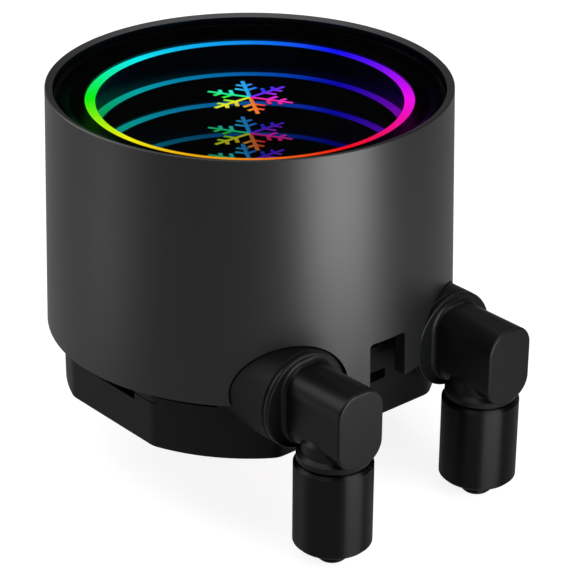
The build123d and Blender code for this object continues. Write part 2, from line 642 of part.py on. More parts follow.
def mirror_carrier():
    foot = LED_BOARD_Z + BOARD_T
    seat = MIRROR_TOP_Z - MIRROR_T
    top = RING_TOP_Z - RING_T
    return turned([
        (0, foot), (CARRIER_R, foot), (CARRIER_R, top), (CARRIER_BORE_R, top),
        (CARRIER_BORE_R, seat), (0, seat),
    ])


def rear_mirror():
    return cylinder(MIRROR_R, MIRROR_TOP_Z - MIRROR_T, MIRROR_TOP_Z)


def emblem_sheet():
    return cylinder(SHEET_R, RING_TOP_Z - RING_T, RING_TOP_Z)


def emblem():
    """Six-armed frost star, a plain sign for cooling, printed on the clear sheet."""
    arm = Pos(EMBLEM_R / 2, 0) * Rectangle(EMBLEM_R, EMBLEM_LINE)
    for distance, length in EMBLEM_TWIGS:
        for way in (-1, 1):
            twig = Pos(length / 2, 0) * Rectangle(length, EMBLEM_LINE)
            arm = arm + Pos(distance, 0) * (Rot(Z=60 * way) * twig)
    star = arm
    for i in range(1, EMBLEM_ARM_COUNT):
        star = star + Rot(Z=360 / EMBLEM_ARM_COUNT * i) * arm
    return Pos(0, 0, RING_TOP_Z) * extrude(star, EMBLEM_T)


def bezel():
    """Black surround: a lip over the lit ring, a sloping wall, and the seat of the glass."""
    foot = LED_BOARD_Z + BOARD_T
    seat = GLASS_TOP_Z - GLASS_T
    lip = RING_TOP_Z + SKIM
    inner = BEZEL_R - BEZEL_WALL
    return turned([
        (inner, foot), (BEZEL_R, foot), (BEZEL_R, seat), (BEZEL_TOP_R, seat),
        (BEZEL_FLOOR_R, lip + BEZEL_LIP_T), (BEZEL_LIP_R, lip + BEZEL_LIP_T),
        (BEZEL_LIP_R, lip), (inner, lip),
    ])


def front_glass():
    return cylinder(GLASS_R, GLASS_TOP_Z - GLASS_T, GLASS_TOP_Z)


def cable_socket():
    rear = SOCKET_FRONT_Y + SOCKET_LEN
    top = POCKET_FLOOR_Z + SOCKET_H
    body = block(-SOCKET_W / 2, SOCKET_W / 2, SOCKET_FRONT_Y, rear, POCKET_FLOOR_Z, top)
    mouth = block(-SOCKET_W / 2 + SOCKET_WALL, SOCKET_W / 2 - SOCKET_WALL,
                  SOCKET_FRONT_Y - CUT, SOCKET_FRONT_Y + SOCKET_CAVITY,
                  POCKET_FLOOR_Z + SOCKET_WALL, top - SOCKET_WALL)
    return body - mouth


def socket_pins():
    z = POCKET_FLOOR_Z + SOCKET_H / 2
    pins = []
    for i in range(PIN_COUNT):
        x = (i - (PIN_COUNT - 1) / 2) * PIN_PITCH
        pins.append(block(x - PIN_W / 2, x + PIN_W / 2, SOCKET_FRONT_Y + PIN_SETBACK,
                          SOCKET_FRONT_Y + SOCKET_CAVITY, z - PIN_W / 2, z + PIN_W / 2))
    return pins


def elbow(x):
    """Swivel elbow: spigot, round flange, oblong body, barrel and skirt."""
    flange_back = BOSS_FRONT_Y - FLANGE_GAP
    flange_front = flange_back - FLANGE_T
    flange = bar_y(FLANGE_R, flange_front, flange_back, 0, 0)
    flange = fillet(flange.faces().sort_by(Axis.Y)[0].edges(), FLANGE_EDGE)
    section = RectangleRounded(ELBOW_W, ELBOW_H, ELBOW_CORNER)
    body = Pos(0, flange_front, 0) * (Rot(X=90) * extrude(section, flange_front - ELBOW_FACE_Y))
    body = fillet(body.faces().sort_by(Axis.Y)[0].edges(), FACE_EDGE)
    body = flange + body
    seam = [e for e in body.edges() if abs(e.center().Y - flange_front) < SKIM
            and e.bounding_box().size.Y < SKIM
            and max(abs(e.center().X), abs(e.center().Z)) < ELBOW_H / 2 + FIT]
    body = fillet(seam, NECK_FILLET)
    body = Pos(x, 0, PORT_Z) * body
    roof = COLLAR_TOP_Z - COLLAR_ROOF
    shoulder = ELBOW_W / 2 - BARREL_SLOPE / 2
    barrel = Pos(x, DROP_Y, 0) * turned([
        (0, PORT_Z), (shoulder, PORT_Z), (shoulder, BARREL_TOP_Z + BARREL_SLOPE),
        (BARREL_R, BARREL_TOP_Z - BARREL_SLOPE / 2), (BARREL_R, SKIRT_TOP_Z + SKIRT_EDGE),
        (SKIRT_R, SKIRT_TOP_Z - SKIRT_EDGE), (SKIRT_R, SKIRT_FOOT_Z), (NECK_R, SKIRT_FOOT_Z),
        (NECK_R, roof), (0, roof),
    ])
    spigot = bar_y(SPIGOT_R, flange_back - TINY, SPIGOT_END_Y, x, PORT_Z)
    solid = body + barrel + spigot
    for y in ORING_Y:
        solid = solid - y_ring(SPIGOT_R + CUT, ORING_GROOVE_R, y - ORING_GROOVE_W / 2,
                               y + ORING_GROOVE_W / 2, x)
    solid = solid - y_ring(SPIGOT_R + CUT, RING_INNER_R, *RING_GROOVE, x)
    solid = solid - bar_y(FLOW_R, SPIGOT_END_Y + CUT, DROP_Y, x, PORT_Z)
    solid = solid - cylinder(FLOW_R, roof - CUT, PORT_Z, x, DROP_Y)
    solid = solid - Pos(x, DROP_Y, PORT_Z) * Sphere(FLOW_R)
    return solid - cylinder(BARB_HEAD_R, roof - CUT, BARB_HEAD_Z, x, DROP_Y)


def y_ring(outer, inner, y_from, y_to, x):
    """Flat ring round a port axis."""
    return bar_y(outer, y_from, y_to, x, PORT_Z) - bar_y(inner, y_from - CUT, y_to + CUT, x, PORT_Z)


def hose_barb(x):
    """Pressed-in barb: head in the elbow, saw teeth inside the collar, plain tip below it."""
    head_foot = COLLAR_TOP_Z - COLLAR_ROOF
    points = [(BARB_BORE_R, BARB_HEAD_Z), (BARB_HEAD_R, BARB_HEAD_Z), (BARB_HEAD_R, head_foot),
              (BARB_TIP_R, head_foot - (BARB_HEAD_R - BARB_TIP_R))]
    for i in range(BARB_TOOTH_COUNT):
        top = head_foot - BARB_FIRST - BARB_PITCH * i
        points += [(BARB_TIP_R, top), (BARB_TOOTH_R, top), (BARB_TIP_R, top - BARB_RUN)]
    points += [(BARB_TIP_R, BARB_TIP_Z + BARB_TIP_EDGE), (BARB_TIP_R - BARB_TIP_EDGE, BARB_TIP_Z),
               (BARB_BORE_R, BARB_TIP_Z)]
    return Pos(x, DROP_Y, 0) * turned(points)


def collar(x):
    """Crimp collar: a sleeve whose roof grips the elbow's neck; the hose goes up inside it."""
    roof = COLLAR_TOP_Z - COLLAR_ROOF
    return Pos(x, DROP_Y, 0) * turned([
        (NECK_R + SKIM, COLLAR_TOP_Z), (COLLAR_R - COLLAR_EDGE, COLLAR_TOP_Z),
        (COLLAR_R, COLLAR_TOP_Z - COLLAR_EDGE), (COLLAR_R, COLLAR_FOOT_Z + COLLAR_EDGE),
        (COLLAR_R - COLLAR_EDGE, COLLAR_FOOT_Z), (COLLAR_BORE_R, COLLAR_FOOT_Z),
        (COLLAR_BORE_R, roof), (NECK_R + SKIM, roof),
    ])


def spigot_orings(x):
    radius = (ORING_GROOVE_R + SPIGOT_R + SPIGOT_CLEAR) / 2
    return [Pos(x, y, PORT_Z) * (Rot(X=90) * Torus(radius, ORING_SECTION_R)) for y in ORING_Y]


def retaining_ring(x):
    """Open snap ring in the spigot's last groove: it keeps the elbow from pulling out."""
    ring = y_ring(RING_OUTER_R, RING_INNER_R + SKIM, RING_GROOVE[0] + TINY, RING_GROOVE[1] - TINY, x)
    half = radians(RING_OPENING / 2)
    reach = 2 * RING_OUTER_R
    mouth = Polyline((0, 0, 0), (-reach * sin(half), 0, reach * cos(half)),
                     (reach * sin(half), 0, reach * cos(half)), close=True)
    mouth = extrude(make_face(mouth), 2 * RING_OUTER_R, dir=(0, 1, 0), both=True)
    return ring - Pos(x, RING_GROOVE[0], PORT_Z) * mouth


def all_nodes():
    nodes = {
        "outer_shell": outer_shell(), "base_housing": base_housing(),
        "cold_plate": cold_plate(), "cold_plate_screws": cold_plate_screws(),
        "plate_seal": plate_seal(), "jet_plate": jet_plate(),
        "pump_cover": pump_cover(), "cover_seal": cover_seal(),
        "motor_bracket": motor_bracket(), "bracket_screws": bracket_screws(),
        "stator_core": stator_core(), "stator_coils": stator_coils(),
        "rotor_shaft": rotor_shaft(), "bearing_sleeve": bearing_sleeve(),
        "rotor_magnet": rotor_magnet(), "impeller": impeller(),
        "inner_frame": inner_frame(), "frame_screws": frame_screws(),
        "control_board": control_board(), "board_screws": board_screws(),
        "board_parts": board_parts(), "led_board": led_board(), "led_chips": led_chips(),
        "light_ring": light_ring(), "mirror_carrier": mirror_carrier(),
        "rear_mirror": rear_mirror(), "emblem_sheet": emblem_sheet(), "emblem": emblem(),
        "bezel": bezel(), "front_glass": front_glass(),
        "cable_socket": cable_socket(), "socket_pins": socket_pins(),
    }
    for side, x in (("left", -PORT_X), ("right", PORT_X)):
        nodes["elbow_" + side] = elbow(x)
        nodes["hose_barb_" + side] = hose_barb(x)
        nodes["collar_" + side] = collar(x)
        nodes["spigot_orings_" + side] = spigot_orings(x)
        nodes["retaining_ring_" + side] = retaining_ring(x)
    return nodes


os.makedirs("parts", exist_ok=True)
for name, shape in all_nodes().items():
    solids = shape if isinstance(shape, list) else shape.solids()
    export_step(Compound(children=list(solids)) if len(solids) > 1 else solids[0], "parts/" + name + ".step")
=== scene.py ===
# %% [markdown]
# Pump head of an all-in-one liquid cooler
#
# The real object is a round black pump with a mirror cap. Its rigid pieces arrive as finished
# solids, each at the origin of one shared frame, so this lesson is about finishes and light:
# how near-black plastics are told apart, and how two mirrors that face each other make rings
# of light that seem to sink into the pump.

# %% Load the frame
from math import cos, pi, radians, sin

import bpy
from mathutils import Matrix, Vector


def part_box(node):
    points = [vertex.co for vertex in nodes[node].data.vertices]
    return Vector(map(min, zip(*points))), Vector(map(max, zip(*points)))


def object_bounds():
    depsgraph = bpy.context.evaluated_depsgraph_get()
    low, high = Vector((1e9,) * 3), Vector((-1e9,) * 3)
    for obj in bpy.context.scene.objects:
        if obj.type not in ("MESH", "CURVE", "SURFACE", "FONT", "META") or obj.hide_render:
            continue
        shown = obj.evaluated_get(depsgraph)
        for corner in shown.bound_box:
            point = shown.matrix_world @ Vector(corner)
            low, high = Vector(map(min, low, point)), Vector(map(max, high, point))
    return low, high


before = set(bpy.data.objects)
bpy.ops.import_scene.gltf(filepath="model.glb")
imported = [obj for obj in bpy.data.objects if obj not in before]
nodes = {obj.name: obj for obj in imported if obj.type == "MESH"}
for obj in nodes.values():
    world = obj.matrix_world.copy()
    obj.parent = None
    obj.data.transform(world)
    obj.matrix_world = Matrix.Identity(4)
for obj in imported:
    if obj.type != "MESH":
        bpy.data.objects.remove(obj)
cad_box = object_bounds()
MM = 0.001
print("pieces:", len(nodes), " size in mm:", [round(v / MM, 1) for v in cad_box[1] - cad_box[0]])

# %% [markdown]
# Colours and nodes
#
# Colours are given as sRGB hex values, but a shader mixes light in linear values, so
# one function turns hex into linear. Every node is added by one small function too, which sets
# the node up and joins its inputs in the same call. That keeps each finish short enough to read.

# %% Helpers for colours and nodes
def colour(hex_code):
    """Linear RGBA of an sRGB hex value."""
    channels = [int(hex_code[i:i + 2], 16) / 255 for i in (1, 3, 5)]
    linear = [c / 12.92 if c <= 0.04045 else ((c + 0.055) / 1.055) ** 2.4 for c in channels]
    return (*linear, 1.0)


def add(tree, kind, settings=None, inputs=None):
    """Adds one shader node, with its settings, and its inputs as values or as links."""
    made = tree.nodes.new("ShaderNode" + kind)
    for name, value in (settings or {}).items():
        setattr(made, name, value)
    for name, value in (inputs or {}).items():
        socket = made.inputs[name]
        if isinstance(value, bpy.types.NodeSocket):
            tree.links.new(value, socket)
        else:
            socket.default_value = value
    return made


def new_material(name):
    """New material with an empty node tree, and that tree."""
    material = bpy.data.materials.new(name)
    material.use_nodes = True
    material.node_tree.nodes.clear()
    return material, material.node_tree


def dress(material, *names):
    """Gives the named pieces this material."""
    for name in names:
        slots = nodes[name].data.materials
        for i in range(len(slots)):
            slots[i] = material
        if not slots:
            slots.append(material)
    print(material.name, "->", ", ".join(names))


print("black plastic, linear:", [round(v, 4) for v in colour("#0e0f10")[:3]])

# %% [markdown]
# Moulded black plastics
#
# Nearly all that shows is moulded plastic, and each piece was sparked or polished differently
# in its mould. A spark-eroded mould leaves a fine grain that breaks the highlight up, so every
# moulding gets a grain bump, a slow drift of gloss from how the melt flowed, and its own
# roughness. The real grain is about 0.05 mm, too fine to show here, so it is drawn coarser. The
# nylon mouldings look duller than the cover, which keeps the usual specular level of 0.5, so
# their level is lower, matched to that look.

# %% A function for moulded plastics
FLOW_MM = 22                # size of the patches that the melt's flow leaves
FLOW_LOW, FLOW_HIGH = 0.3, 0.7      # range that the noise mostly stays in
GLOSS_DRIFT = 0.02          # how far the roughness drifts either way
PLASTIC_IOR = 1.53          # usual for ABS and for nylon


def moulded_plastic(name, dark, light, roughness, grain_mm, grain_depth_mm, gloss=0.5):
    """Moulded plastic: colour drift, gloss drift and a mould grain. Gloss is the specular level."""
    material, tree = new_material(name)
    place = add(tree, "TexCoord").outputs["Object"]
    flow = add(tree, "TexNoise", inputs={"Vector": place, "Scale": 1 / (FLOW_MM * MM), "Detail": 3.0})
    grain = add(tree, "TexNoise", inputs={"Vector": place, "Scale": 1 / (grain_mm * MM), "Detail": 2.0})
    shade = add(tree, "ValToRGB", inputs={"Fac": flow.outputs["Fac"]})
    for stop, position, hex_code in zip(shade.color_ramp.elements, (FLOW_LOW, FLOW_HIGH), (dark, light)):
        stop.position = position
        stop.color = colour(hex_code)
    sheen = add(tree, "MapRange", inputs={
        "Value": flow.outputs["Fac"], "From Min": FLOW_LOW, "From Max": FLOW_HIGH,
        "To Min": roughness - GLOSS_DRIFT, "To Max": roughness + GLOSS_DRIFT})
    bump = add(tree, "Bump", inputs={
        "Height": grain.outputs["Fac"], "Distance": grain_depth_mm * MM, "Strength": 1.0})
    shader = add(tree, "BsdfPrincipled", inputs={
        "Base Color": shade.outputs["Color"], "Roughness": sheen.outputs["Result"],
        "Normal": bump.outputs["Normal"], "IOR": PLASTIC_IOR, "Specular IOR Level": gloss})
    add(tree, "OutputMaterial", inputs={"Surface": shader.outputs[0]})
    return material


# The cover is satin ABS. Its grain is the shallowest of the outer mouldings, so its highlights
# run as soft upright bands.
cover_abs = moulded_plastic("satin_moulded_abs", "#0e0f10", "#101112", 0.42, 0.5, 0.002)
dress(cover_abs, "outer_shell")

# The housing is glass-filled nylon: fibres at the skin make it duller and a little darker.
housing_nylon = moulded_plastic("glass_filled_nylon", "#0b0b0c", "#0d0d0e", 0.5, 0.6, 0.006, gloss=0.17)
dress(housing_nylon, "base_housing", "pump_cover")

# The elbows are moulded in a finer grained nylon, between the two in colour.
elbow_nylon = moulded_plastic("fine_grained_nylon", "#0d0e0e", "#0f1010", 0.36, 0.4, 0.003, gloss=0.16)
dress(elbow_nylon, "elbow_left", "elbow_right")

# Pieces out of sight: plain black moulding, a shade lighter, as used for inner frames.
inner_abs = moulded_plastic("plain_moulded_abs", "#222325", "#262729", 0.5, 0.6, 0.004)
dress(inner_abs, "inner_frame", "motor_bracket", "impeller")

# The cable socket is a dark grey connector nylon, paler than the housing, so it shows in the notch.
connector_nylon = moulded_plastic("connector_nylon", "#4a4a4b", "#4e4e4f", 0.45, 0.4, 0.003)
dress(connector_nylon, "cable_socket")

# %% [markdown]
# The black chamber
#
# The light shows only because everything round it is nearly black. The surround under the
# glass and the mirror's carrier are a deep black moulding with a slight gloss, so that they
# take a faint glow from the ring and nothing else.

# %% Deep black mouldings
chamber_black = moulded_plastic("deep_black_moulding", "#070708", "#09090a", 0.35, 0.6, 0.002, gloss=0.35)
dress(chamber_black, "bezel", "mirror_carrier")

# %% [markdown]
# The lit ring and the sign
#
# Real rings are a milky light guide over sixteen small colour chips, each a step further round
# the rainbow. A ramp of hue over the angle gives the same wheel of colour, and a gamma of 2.2
# spreads the hues evenly for the eye. The angle is worked out from the place on the piece, so
# the colours stay put when the camera moves. The greens take less of this ring than the blues
# and reds do, so the wheel is bent: yellow and cyan are drawn toward green. The guide's edges are
# masked on the real pump, so only its face shines and, more weakly, its underside.

# %% A function for the colour wheel
HUE_START = 260 / 360       # hue on the +X axis, as a share of the wheel
GREEN_AT = radians(140)     # plan angle of pure green
HUE_BEND = 20 / 360         # how far yellow and cyan are drawn toward green
TURN = 2 * pi
EYE_GAMMA = 2.2             # spreads the hues evenly for the eye
FACING = 0.5                # share of Z past which a face counts as facing up or down


def hue_wheel(tree, saturation):
    """Colour that goes once through the rainbow round the pump's axis."""
    place = add(tree, "TexCoord").outputs["Object"]
    xyz = add(tree, "SeparateXYZ", inputs={"Vector": place})
    angle = add(tree, "Math", {"operation": "ARCTAN2"}, {0: xyz.outputs["Y"], 1: xyz.outputs["X"]})
    share = add(tree, "Math", {"operation": "DIVIDE"}, {0: angle.outputs[0], 1: TURN})
    even = add(tree, "Math", {"operation": "SUBTRACT"}, {0: HUE_START, 1: share.outputs[0]})
    off_green = add(tree, "Math", {"operation": "SUBTRACT"}, {0: angle.outputs[0], 1: GREEN_AT})
    doubled = add(tree, "Math", {"operation": "MULTIPLY"}, {0: off_green.outputs[0], 1: 2.0})
    either_side = add(tree, "Math", {"operation": "SINE"}, {0: doubled.outputs[0]})
    cosine = add(tree, "Math", {"operation": "COSINE"}, {0: off_green.outputs[0]})
    nearby = add(tree, "Math", {"operation": "MULTIPLY_ADD"}, {0: cosine.outputs[0], 1: 0.5, 2: 0.5})
    bend = add(tree, "Math", {"operation": "MULTIPLY"}, {0: either_side.outputs[0], 1: nearby.outputs[0]})
    hue = add(tree, "Math", {"operation": "MULTIPLY_ADD"}, {
        0: bend.outputs[0], 1: -HUE_BEND, 2: even.outputs[0]})
    wrapped = add(tree, "Math", {"operation": "FRACT"}, {0: hue.outputs[0]})
    wheel = add(tree, "CombineColor", {"mode": "HSV"}, {
        "Red": wrapped.outputs[0], "Green": saturation, "Blue": 1.0})
    return add(tree, "Gamma", inputs={"Color": wheel.outputs[0], "Gamma": EYE_GAMMA})


def glowing(name, body, saturation, strength, underside, roughness):
    """Milky plastic lit in the colours of the wheel: its face bright, its underside weaker."""
    material, tree = new_material(name)
    wheel = hue_wheel(tree, saturation)
    facing = add(tree, "SeparateXYZ", inputs={"Vector": add(tree, "TexCoord").outputs["Normal"]})
    up = add(tree, "Math", {"operation": "GREATER_THAN"}, {0: facing.outputs["Z"], 1: FACING})
    down = add(tree, "Math", {"operation": "LESS_THAN"}, {0: facing.outputs["Z"], 1: -FACING})
    below = add(tree, "Math", {"operation": "MULTIPLY"}, {0: down.outputs[0], 1: strength * underside})
    level = add(tree, "Math", {"operation": "MULTIPLY_ADD"}, {
        0: up.outputs[0], 1: strength, 2: below.outputs[0]})
    shader = add(tree, "BsdfPrincipled", inputs={
        "Base Color": colour(body), "Roughness": roughness,
        "Emission Color": wheel.outputs[0], "Emission Strength": level.outputs[0]})
    add(tree, "OutputMaterial", inputs={"Surface": shader.outputs[0]})
    return material


# Opal acrylic: it scatters the chips' light so evenly that no single chip shows.
opal_acrylic = glowing("opal_acrylic_light_guide", "#101010", 0.9, 0.85, 0.5, 0.4)
dress(opal_acrylic, "light_ring")

# Translucent ink of the printed sign: paler than the ring, since the light leaks past it.
lit_ink = glowing("translucent_lit_ink", "#101010", 0.8, 0.8, 0.5, 0.5)
dress(lit_ink, "emblem")

# %% [markdown]
# Two mirrors
#
# The depth is real: a silvered mirror lies under the ring, and the glass above carries a
# half-mirror coat. Light bounces between them, a little weaker each time, and each bounce
# shows the ring again, deeper. So the rings aren't modelled: the lower mirror is a smooth metal,
# and the coat mirrors about two fifths of what meets it from inside and lets the rest out. A
# real tint dims light both ways. Here it acts on room light alone, a simplification that keeps
# the chamber black and the ring bright.

# %% The silvered mirror and the half-mirror glass
HAZE_MM, HAZE_ROUGHNESS = 15, 0.01      # patches of haze in the silver, and the most it dulls
DUST_MM, DUST_ALPHA = 9, 0.01           # patches of dust on the clear sheet, and the most it hides

silver, tree = new_material("silvered_mirror")
place = add(tree, "TexCoord").outputs["Object"]
haze = add(tree, "TexNoise", inputs={"Vector": place, "Scale": 1 / (HAZE_MM * MM)})
tarnish = add(tree, "MapRange", inputs={
    "Value": haze.outputs["Fac"], "To Min": 0.0, "To Max": HAZE_ROUGHNESS})
shader = add(tree, "BsdfPrincipled", inputs={
    "Base Color": colour("#e6e8ec"), "Metallic": 1.0, "Roughness": tarnish.outputs["Result"]})
add(tree, "OutputMaterial", inputs={"Surface": shader.outputs[0]})
dress(silver, "rear_mirror")

GLASS_LOW, GLASS_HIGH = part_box("front_glass")
COAT_INSIDE = 0.42          # share of light that the coat mirrors back into the chamber
COAT_OUTSIDE = 0.003        # share that it mirrors of the room
SKIN = 0.01 * MM            # depth under the top face that counts as coated
ROOM_LET_IN = 0.01          # share of room light that the tint lets into the chamber

half_mirror, tree = new_material("half_mirror_glass")
place = add(tree, "TexCoord").outputs["Object"]
height = add(tree, "SeparateXYZ", inputs={"Vector": place}).outputs["Z"]
top_face = add(tree, "Math", {"operation": "GREATER_THAN"}, {0: height, 1: GLASS_HIGH.z - SKIN})
from_inside = add(tree, "NewGeometry").outputs["Backfacing"]
share = add(tree, "MapRange", inputs={
    "Value": from_inside, "To Min": COAT_OUTSIDE, "To Max": COAT_INSIDE})
coat = add(tree, "Math", {"operation": "MULTIPLY"}, {0: share.outputs[0], 1: top_face.outputs[0]})
way_out = add(tree, "Math", {"operation": "MULTIPLY"}, {0: from_inside, 1: top_face.outputs[0]})
tint = add(tree, "MapRange", inputs={
    "Value": way_out.outputs[0], "To Min": 1.0, "To Max": ROOM_LET_IN})
pane = add(tree, "BsdfTransparent", inputs={"Color": tint.outputs[0]})
film = add(tree, "BsdfPrincipled", inputs={
    "Base Color": colour("#f2f4f8"), "Metallic": 1.0, "Roughness": 0.0})
shader = add(tree, "MixShader", inputs={0: coat.outputs[0], 1: pane.outputs[0], 2: film.outputs[0]})
add(tree, "OutputMaterial", inputs={"Surface": shader.outputs[0]})
dress(half_mirror, "front_glass")

# Clear acrylic sheet that carries the sign: all but invisible, with a trace of grey.
clear_acrylic, tree = new_material("clear_acrylic_sheet")
place = add(tree, "TexCoord").outputs["Object"]
dust = add(tree, "TexNoise", inputs={"Vector": place, "Scale": 1 / (DUST_MM * MM)})
trace = add(tree, "MapRange", inputs={"Value": dust.outputs["Fac"], "To Min": 0.0, "To Max": DUST_ALPHA})
shader = add(tree, "BsdfPrincipled", inputs={
    "Base Color": colour("#101010"), "Roughness": 0.1, "Alpha": trace.outputs["Result"]})
add(tree, "OutputMaterial", inputs={"Surface": shader.outputs[0]})
dress(clear_acrylic, "emblem_sheet")
print("glass", round((GLASS_HIGH.z - GLASS_LOW.z) / MM, 2), "mm thick")

# %% [markdown]
# Metals
#
# The collars and barbs are turned from aluminium and anodised black: dye in a hard oxide skin
# gives a dark metal with one clear upright highlight. The turning tool leaves fine rings that
# stretch the highlight across them, so the shader is anisotropic round the axis and carries the
# rings as a faint bump too. The cold plate is bare copper, faced on a lathe, so it shows the
# same rings, wider and bright. Screws are zinc-plated steel.

# %% A function for turned metal
STRETCH = 0.95              # how far the tool's rings stretch a highlight
ALONG_AXIS = 0.25           # quarter turn: they stretch it along the axis, across themselves
WEAR_MM, WEAR_DRIFT = 6, 0.04       # patches of handling, and how far they change the roughness


def turned_metal(name, hex_code, roughness, feed_mm, depth_mm, centre=(0, 0)):
    """Metal with the rings that a turning tool leaves, a feed apart."""
    material, tree = new_material(name)
    place = add(tree, "TexCoord").outputs["Object"]
    moved = add(tree, "Mapping", inputs={"Vector": place, "Location": (-centre[0], -centre[1], 0)})
    xyz = add(tree, "SeparateXYZ", inputs={"Vector": moved.outputs[0]})
    flat = add(tree, "CombineXYZ", inputs={"X": xyz.outputs["X"], "Y": xyz.outputs["Y"]})
    radius = add(tree, "VectorMath", {"operation": "LENGTH"}, {0: flat.outputs[0]})
    along = add(tree, "Math", {"operation": "ADD"}, {0: radius.outputs["Value"], 1: xyz.outputs["Z"]})
    phase = add(tree, "Math", {"operation": "MULTIPLY"}, {0: along.outputs[0], 1: TURN / (feed_mm * MM)})
    groove = add(tree, "Math", {"operation": "SINE"}, {0: phase.outputs[0]})
    bump = add(tree, "Bump", inputs={
        "Height": groove.outputs[0], "Distance": depth_mm * MM, "Strength": 1.0})
    wear = add(tree, "TexNoise", inputs={"Vector": place, "Scale": 1 / (WEAR_MM * MM), "Detail": 3.0})
    gloss = add(tree, "MapRange", inputs={
        "Value": wear.outputs["Fac"],
        "To Min": roughness - WEAR_DRIFT, "To Max": roughness + WEAR_DRIFT})
    round_axis = add(tree, "Tangent", {"direction_type": "RADIAL", "axis": "Z"})
    shader = add(tree, "BsdfPrincipled", inputs={
        "Base Color": colour(hex_code), "Metallic": 1.0, "Roughness": gloss.outputs["Result"],
        "Anisotropic": STRETCH, "Anisotropic Rotation": ALONG_AXIS,
        "Tangent": round_axis.outputs[0], "Normal": bump.outputs["Normal"]})
    add(tree, "OutputMaterial", inputs={"Surface": shader.outputs[0]})
    return material


for side in ("left", "right"):
    low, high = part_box("collar_" + side)
    middle = (low + high) / 2
    anodised = turned_metal("black_anodised_aluminium_" + side, "#272727", 0.42, 0.5, 0.0015,
                            (middle.x, middle.y))
    dress(anodised, "collar_" + side, "hose_barb_" + side)

copper = turned_metal("lathe_faced_copper", "#b87d62", 0.25, 0.6, 0.004)
dress(copper, "cold_plate")
zinc_steel = turned_metal("zinc_plated_steel", "#9a9ca0", 0.35, 0.4, 0.002)
dress(zinc_steel, "cold_plate_screws", "bracket_screws", "frame_screws", "board_screws")
bright_steel = turned_metal("bright_spring_steel", "#c4c6c8", 0.2, 0.3, 0.001)
dress(bright_steel, "rotor_shaft", "jet_plate", "retaining_ring_left", "retaining_ring_right")
bronze = turned_metal("sintered_bronze", "#8c6a45", 0.5, 0.4, 0.004)
dress(bronze, "bearing_sleeve")
gold_plate = turned_metal("gold_plated_contact", "#d9b65c", 0.25, 0.4, 0.001)
dress(gold_plate, "socket_pins")

# %% [markdown]
# Inside the pump
#
# The cover hides the motor and the boards, but they are there, and a part that is opened or
# cut through should look right too. Each gets the finish that tells it apart: rubber is dull,
# a winding shows its wires, a lamination stack its sheets, and a board the tracks under its mask.

# %% Stripes for stacked and wound pieces
def striped(name, dark, light, pitch_mm, roughness, metallic, depth_mm):
    """Fine stripes along Z: the sheets of a core or the wires of a coil."""
    material, tree = new_material(name)
    place = add(tree, "TexCoord").outputs["Object"]
    height = add(tree, "SeparateXYZ", inputs={"Vector": place}).outputs["Z"]
    phase = add(tree, "Math", {"operation": "MULTIPLY"}, {0: height, 1: TURN / (pitch_mm * MM)})
    stripe = add(tree, "Math", {"operation": "SINE"}, {0: phase.outputs[0]})
    mask = add(tree, "MapRange", inputs={"Value": stripe.outputs[0], "From Min": -1.0})
    shade = add(tree, "Mix", {"data_type": "RGBA"}, {
        "Factor": mask.outputs[0], 6: colour(dark), 7: colour(light)})
    bump = add(tree, "Bump", inputs={
        "Height": mask.outputs[0], "Distance": depth_mm * MM, "Strength": 1.0})
    shader = add(tree, "BsdfPrincipled", inputs={
        "Base Color": shade.outputs[2], "Roughness": roughness, "Metallic": metallic,
        "Normal": bump.outputs["Normal"]})
    add(tree, "OutputMaterial", inputs={"Surface": shader.outputs[0]})
    return material


dress(striped("stacked_electrical_steel", "#55575b", "#8a8c90", 0.5, 0.4, 1.0, 0.03), "stator_core")
dress(striped("enamelled_copper_winding", "#7a3d1d", "#c9743c", 0.4, 0.3, 1.0, 0.08), "stator_coils")

# %% Rubber, ferrite, board and chips
dress(moulded_plastic("nitrile_rubber", "#101010", "#141414", 0.6, 0.3, 0.004),
      "plate_seal", "cover_seal", "spigot_orings_left", "spigot_orings_right")
dress(moulded_plastic("pressed_ferrite", "#2c2d2f", "#37383b", 0.55, 0.3, 0.01), "rotor_magnet")
dress(moulded_plastic("moulded_epoxy_chip", "#151515", "#1c1c1c", 0.5, 0.3, 0.004), "board_parts")
dress(moulded_plastic("silicone_covered_chip", "#d8d6b8", "#e8e6cc", 0.3, 0.4, 0.001), "led_chips")

TRACK_MM = 3                # spacing of the copper tracks under the mask
TRACK_EDGE = 0.45, 0.5      # where the mask rises over a track, as a share of the spacing

solder_mask, tree = new_material("black_solder_mask")
place = add(tree, "TexCoord").outputs["Object"]
tracks = add(tree, "TexVoronoi", {"distance": "MANHATTAN", "feature": "F1"},
             {"Vector": place, "Scale": 1 / (TRACK_MM * MM)})
shade = add(tree, "ValToRGB", inputs={"Fac": tracks.outputs["Distance"]})
for stop, position, hex_code in zip(shade.color_ramp.elements, TRACK_EDGE, ("#0c120e", "#16221a")):
    stop.position = position
    stop.color = colour(hex_code)
shader = add(tree, "BsdfPrincipled", inputs={
    "Base Color": shade.outputs["Color"], "Roughness": 0.25, "IOR": 1.5})
add(tree, "OutputMaterial", inputs={"Surface": shader.outputs[0]})
dress(solder_mask, "control_board", "led_board")

# %% [markdown]
# The studio
#
# The photograph is a product shot on white. The floor is pale paper just under the barbs. Most
# of the brightness that the camera sees is the paper's own, so that the background is white
# without pouring more light on a black object. The rest comes from the lamps, so a shadow stays.

